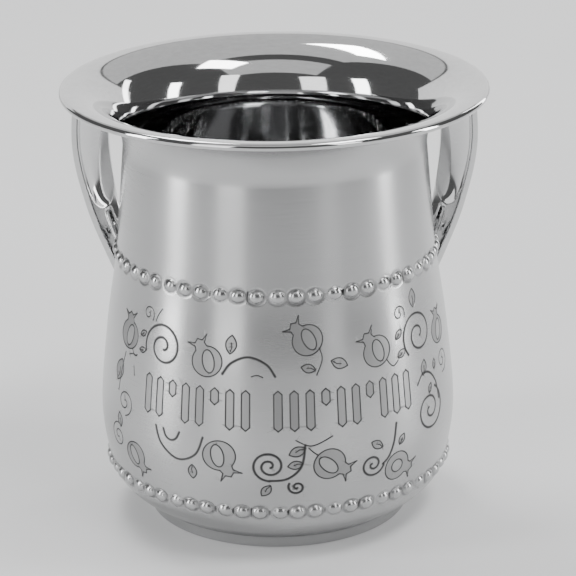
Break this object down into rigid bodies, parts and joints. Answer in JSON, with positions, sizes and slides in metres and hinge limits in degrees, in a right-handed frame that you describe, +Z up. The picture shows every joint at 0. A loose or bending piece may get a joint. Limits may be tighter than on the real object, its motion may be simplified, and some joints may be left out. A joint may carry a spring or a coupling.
{
  "type": "washing cup",
  "caption": "Two-handled steel washing cup with a trumpet rim, beaded bands, an engraved fruit and scroll frieze and a small foot ring.",
  "frame": {"origin": "centre of the foot ring's underside, on the cup's axis", "axes": "+Z up along the cup's axis, -Y towards the engraved front, handles a little behind +X and -X"},
  "size_m": [0.13, 0.13, 0.135],
  "materials": {
    "satin_steel": "satin, turned lengthwise, engraved",
    "polished_steel": "mirror polished"
  },
  "bodies": {
    "root": {"cup_body": "satin_steel", "left_handle": "polished_steel", "right_handle": "polished_steel"}
  },
  "joints": []
}
